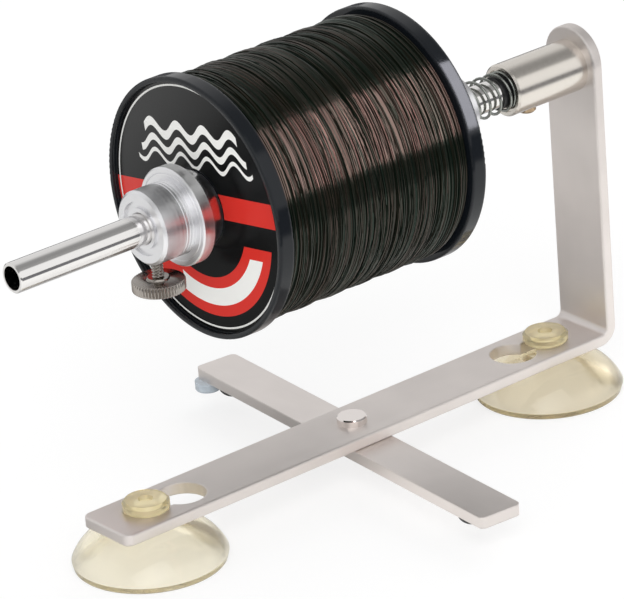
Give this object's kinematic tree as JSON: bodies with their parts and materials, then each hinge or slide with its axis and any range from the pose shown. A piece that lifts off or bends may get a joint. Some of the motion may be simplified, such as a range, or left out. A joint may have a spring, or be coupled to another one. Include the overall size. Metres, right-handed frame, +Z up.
{
  "type": "fishing line winder",
  "caption": "Bench stand for winding fishing line: a bent flat bar on suction cups carries a tube shaft with a spool of dark line held between two taper hubs and a drag spring.",
  "frame": {"origin": "on the table, under the middle of the whole object (centre of the bounding box's bottom)", "axes": "+Z up, +X from the shaft's free end towards the upright, +Y across the base"},
  "size_m": [0.302, 0.2026, 0.1962],
  "materials": {
    "satin_aluminium": "satin, brushed along the bar",
    "turned_aluminium": "turned",
    "polished_aluminium": "polished",
    "zinc_steel": "zinc plated",
    "dark_nickel": "dark nickel plated",
    "brass": "plain",
    "black_plastic": "gloss",
    "dark_line": "wound monofilament",
    "printed_label": "printed film",
    "clear_pvc": "clear soft PVC, slightly yellow",
    "clear_pad": "clear soft pad",
    "black_rubber": "matte"
  },
  "bodies": {
    "frame": {"base_bracket": "satin_aluminium", "pivot_rivet": "satin_aluminium", "shaft_housing": "turned_aluminium", "shaft_bush": "black_plastic", "housing_bolt": "zinc_steel", "housing_washer": "zinc_steel", "housing_lock_screw": "brass", "shaft": "polished_aluminium", "drag_spring": "zinc_steel"},
    "cross_arm": {"cross_bar": "satin_aluminium", "left_rubber_foot": "black_rubber", "right_rubber_foot": "black_rubber", "clear_pad": "clear_pad"},
    "front_cup": {"front_suction_cup": "clear_pvc"},
    "rear_cup": {"rear_suction_cup": "clear_pvc"},
    "rear_hub_slider": {"rear_hub": "turned_aluminium"},
    "spool": {"spool_front_flange": "black_plastic", "spool_core": "black_plastic", "spool_rear_flange": "black_plastic", "line_winding": "dark_line", "front_label": "printed_label"},
    "front_hub_slider": {"front_hub": "turned_aluminium"},
    "thumb_screw_knob": {"thumb_screw": "dark_nickel"}
  },
  "joints": [
    {"name": "cross_bar_swing", "type": "hinge", "parent": "frame", "child": "cross_arm", "pos_m": [0.011, 0, 0.0175], "axis": [0, 0, 1], "range_deg": [-60, 60]},
    {"name": "front_cup_slide", "type": "slide", "parent": "frame", "child": "front_cup", "axis": [1, 0, 0], "range_m": [0, 0.0185]},
    {"name": "rear_cup_slide", "type": "slide", "parent": "frame", "child": "rear_cup", "axis": [-1, 0, 0], "range_m": [0, 0.0185]},
    {"name": "drag_spring_travel", "type": "slide", "parent": "frame", "child": "rear_hub_slider", "axis": [1, 0, 0], "range_m": [0, 0.01], "stiffness_N_per_m": 2000, "deforming": ["drag_spring"]},
    {"name": "spool_spin", "type": "hinge", "parent": "rear_hub_slider", "child": "spool", "pos_m": [0.046, 0, 0.1415], "axis": [1, 0, 0], "continuous": true},
    {"name": "front_hub_slide", "type": "slide", "parent": "frame", "child": "front_hub_slider", "axis": [-1, 0, 0], "range_m": [0, 0.06]},
    {"name": "thumb_screw_turn", "type": "hinge", "parent": "front_hub_slider", "child": "thumb_screw_knob", "pos_m": [-0.08118, 0, 0.1182], "axis": [0, 0, 1], "range_deg": [0, 720]}
  ]
}
